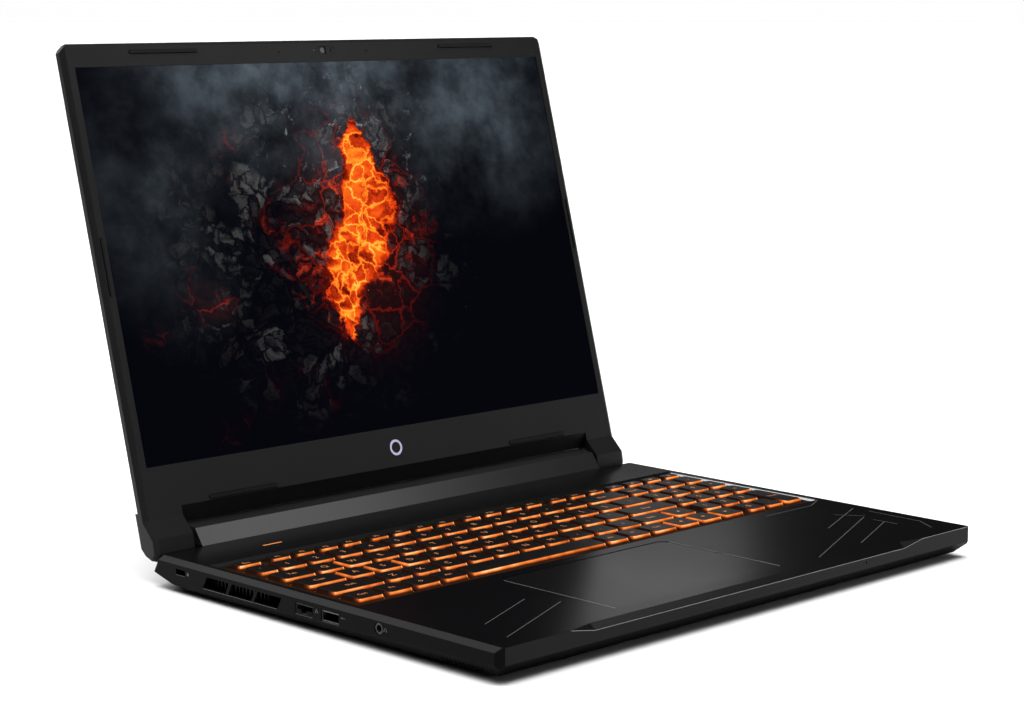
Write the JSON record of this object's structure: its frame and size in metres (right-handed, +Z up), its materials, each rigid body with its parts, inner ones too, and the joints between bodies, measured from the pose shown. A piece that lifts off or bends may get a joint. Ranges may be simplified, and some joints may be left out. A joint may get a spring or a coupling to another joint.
{
  "type": "laptop computer",
  "caption": "Clamshell laptop computer with a wide matt screen on two corner hinges, full keyboard with number pad and orange backlight, touchpad, side vents and sockets.",
  "frame": {"origin": "middle of the open laptop's box, on the surface that its rubber feet rest on", "axes": "+X to the user's right along the keyboard, +Y from the front edge to the hinges, +Z up"},
  "size_m": [0.3612, 0.3406, 0.2795],
  "materials": {
    "deck_plastic": "black satin painted plastic",
    "base_plastic": "black textured plastic",
    "hinge_cover_plastic": "dark grey satin plastic",
    "lid_cover": "dark grey satin plastic",
    "bezel_plastic": "dark grey fine-textured plastic",
    "screen_glass": "lit matt display",
    "rubber": "soft black rubber",
    "keycap": "black caps with clear lit legends",
    "backlight": "orange lit sheet",
    "key_frame_plastic": "black plastic",
    "touchpad_surface": "black satin",
    "steel": "stamped steel",
    "badge_metal": "satin metal ring",
    "board": "green circuit board",
    "silicon": "polished chips",
    "copper": "copper heat pipes",
    "fins": "aluminium fins",
    "fan_plastic": "black moulded plastic",
    "battery_wrap": "black wrap",
    "socket_plastic": "black socket plastic"
  },
  "bodies": {
    "base": {"audio_jack": "socket_plastic", "backlight_sheet": "backlight", "battery": "battery_wrap", "bottom_cover": "base_plastic", "bottom_screws": "steel", "cooling_fins": "fins", "fan_housing_left": "base_plastic", "fan_housing_right": "base_plastic", "heat_pipes": "copper", "hinge_cover": "hinge_cover_plastic", "hinge_mount_left": "steel", "hinge_mount_right": "steel", "key_frame": "key_frame_plastic", "keyboard_plate": "steel", "mainboard": "board", "memory_modules": "board", "network_socket": "socket_plastic", "power_inlet": "socket_plastic", "processor_chips": "silicon", "rear_exhaust_frame": "base_plastic", "rubber_feet": "rubber", "solid_state_drive": "board", "speakers": "base_plastic", "status_light": "backlight", "top_case": "deck_plastic", "usb_a_sockets": "steel", "usb_c_socket": "steel", "video_socket": "steel", "wireless_card": "board"},
    "lid": {"lid_back_cover": "lid_cover", "screen_bezel": "bezel_plastic", "display_panel": "screen_glass", "camera_module": "bezel_plastic", "lid_bumpers": "rubber", "lid_badge": "badge_metal", "wireless_antennas": "board", "hinge_arm_left": "steel", "hinge_arm_right": "steel"},
    "camera_shutter": {"camera_shutter": "bezel_plastic"},
    "touchpad": {"touchpad": "touchpad_surface"},
    "fan_rotor_left": {"fan_rotor_left": "fan_plastic"},
    "fan_rotor_right": {"fan_rotor_right": "fan_plastic"},
    "escape_key": {"escape_key": "keycap"},
    "function_row_keys": {"function_row_keys": "keycap"},
    "power_key": {"power_key": "keycap"},
    "number_row_keys": {"number_row_keys": "keycap"},
    "upper_letter_keys": {"upper_letter_keys": "keycap"},
    "home_letter_keys": {"home_letter_keys": "keycap"},
    "enter_key": {"enter_key": "keycap"},
    "left_shift_key": {"left_shift_key": "keycap"},
    "lower_letter_keys": {"lower_letter_keys": "keycap"},
    "right_shift_key": {"right_shift_key": "keycap"},
    "bottom_row_keys": {"bottom_row_keys": "keycap"},
    "space_bar": {"space_bar": "keycap"},
    "arrow_left_key": {"arrow_left_key": "keycap"},
    "arrow_down_key": {"arrow_down_key": "keycap"},
    "arrow_right_key": {"arrow_right_key": "keycap"},
    "arrow_up_key": {"arrow_up_key": "keycap"},
    "number_pad_keys": {"number_pad_keys": "keycap"},
    "number_pad_enter_key": {"number_pad_enter_key": "keycap"}
  },
  "joints": [
    {"name": "lid_hinge", "type": "hinge", "parent": "base", "child": "lid", "pos_m": [0, 0.09678, 0.0214], "axis": [-1, 0, 0], "range_deg": [-105, 38]},
    {"name": "camera_shutter_slide", "type": "slide", "parent": "lid", "child": "camera_shutter", "axis": [-1, 0, 0], "range_m": [0, 0.0052]},
    {"name": "touchpad_click", "type": "hinge", "parent": "base", "child": "touchpad", "pos_m": [0, -0.07632, 0.01505], "axis": [1, 0, 0], "range_deg": [0, 0.4], "stiffness_Nm_per_rad": 8, "springref_deg": -1.15},
    {"name": "fan_spin_left", "type": "hinge", "parent": "base", "child": "fan_rotor_left", "pos_m": [-0.118, 0.03718, 0.0084], "axis": [0, 0, 1], "continuous": true},
    {"name": "fan_spin_right", "type": "hinge", "parent": "base", "child": "fan_rotor_right", "pos_m": [0.118, 0.03718, 0.0084], "axis": [0, 0, 1], "continuous": true},
    {"name": "escape_key_press", "type": "slide", "parent": "base", "child": "escape_key", "axis": [0, 0, -1], "range_m": [0, 0.0014], "stiffness_N_per_m": 400, "springref_m": -0.001},
    {"name": "function_row_keys_press", "type": "slide", "parent": "base", "child": "function_row_keys", "axis": [0, 0, -1], "range_m": [0, 0.0014], "stiffness_N_per_m": 1480, "springref_m": -0.001},
    {"name": "power_key_press", "type": "slide", "parent": "base", "child": "power_key", "axis": [0, 0, -1], "range_m": [0, 0.0014], "stiffness_N_per_m": 400, "springref_m": -0.001},
    {"name": "number_row_keys_press", "type": "slide", "parent": "base", "child": "number_row_keys", "axis": [0, 0, -1], "range_m": [0, 0.0014], "stiffness_N_per_m": 1240, "springref_m": -0.001},
    {"name": "upper_letter_keys_press", "type": "slide", "parent": "base", "child": "upper_letter_keys", "axis": [0, 0, -1], "range_m": [0, 0.0014], "stiffness_N_per_m": 1240, "springref_m": -0.001},
    {"name": "home_letter_keys_press", "type": "slide", "parent": "base", "child": "home_letter_keys", "axis": [0, 0, -1], "range_m": [0, 0.0014], "stiffness_N_per_m": 1120, "springref_m": -0.001},
    {"name": "enter_key_press", "type": "slide", "parent": "base", "child": "enter_key", "axis": [0, 0, -1], "range_m": [0, 0.0014], "stiffness_N_per_m": 400, "springref_m": -0.001},
    {"name": "left_shift_key_press", "type": "slide", "parent": "base", "child": "left_shift_key", "axis": [0, 0, -1], "range_m": [0, 0.0014], "stiffness_N_per_m": 400, "springref_m": -0.001},
    {"name": "lower_letter_keys_press", "type": "slide", "parent": "base", "child": "lower_letter_keys", "axis": [0, 0, -1], "range_m": [0, 0.0014], "stiffness_N_per_m": 1000, "springref_m": -0.001},
    {"name": "right_shift_key_press", "type": "slide", "parent": "base", "child": "right_shift_key", "axis": [0, 0, -1], "range_m": [0, 0.0014], "stiffness_N_per_m": 400, "springref_m": -0.001},
    {"name": "bottom_row_keys_press", "type": "slide", "parent": "base", "child": "bottom_row_keys", "axis": [0, 0, -1], "range_m": [0, 0.0014], "stiffness_N_per_m": 820, "springref_m": -0.001},
    {"name": "space_bar_press", "type": "slide", "parent": "base", "child": "space_bar", "axis": [0, 0, -1], "range_m": [0, 0.0014], "stiffness_N_per_m": 400, "springref_m": -0.001},
    {"name": "arrow_left_key_press", "type": "slide", "parent": "base", "child": "arrow_left_key", "axis": [0, 0, -1], "range_m": [0, 0.0014], "stiffness_N_per_m": 400, "springref_m": -0.001},
    {"name": "arrow_down_key_press", "type": "slide", "parent": "base", "child": "arrow_down_key", "axis": [0, 0, -1], "range_m": [0, 0.0014], "stiffness_N_per_m": 400, "springref_m": -0.001},
    {"name": "arrow_right_key_press", "type": "slide", "parent": "base", "child": "arrow_right_key", "axis": [0, 0, -1], "range_m": [0, 0.0014], "stiffness_N_per_m": 400, "springref_m": -0.001},
    {"name": "arrow_up_key_press", "type": "slide", "parent": "base", "child": "arrow_up_key", "axis": [0, 0, -1], "range_m": [0, 0.0014], "stiffness_N_per_m": 400, "springref_m": -0.001},
    {"name": "number_pad_keys_press", "type": "slide", "parent": "base", "child": "number_pad_keys", "axis": [0, 0, -1], "range_m": [0, 0.0014], "stiffness_N_per_m": 1420, "springref_m": -0.001},
    {"name": "number_pad_enter_key_press", "type": "slide", "parent": "base", "child": "number_pad_enter_key", "axis": [0, 0, -1], "range_m": [0, 0.0014], "stiffness_N_per_m": 400, "springref_m": -0.001}
  ]
}
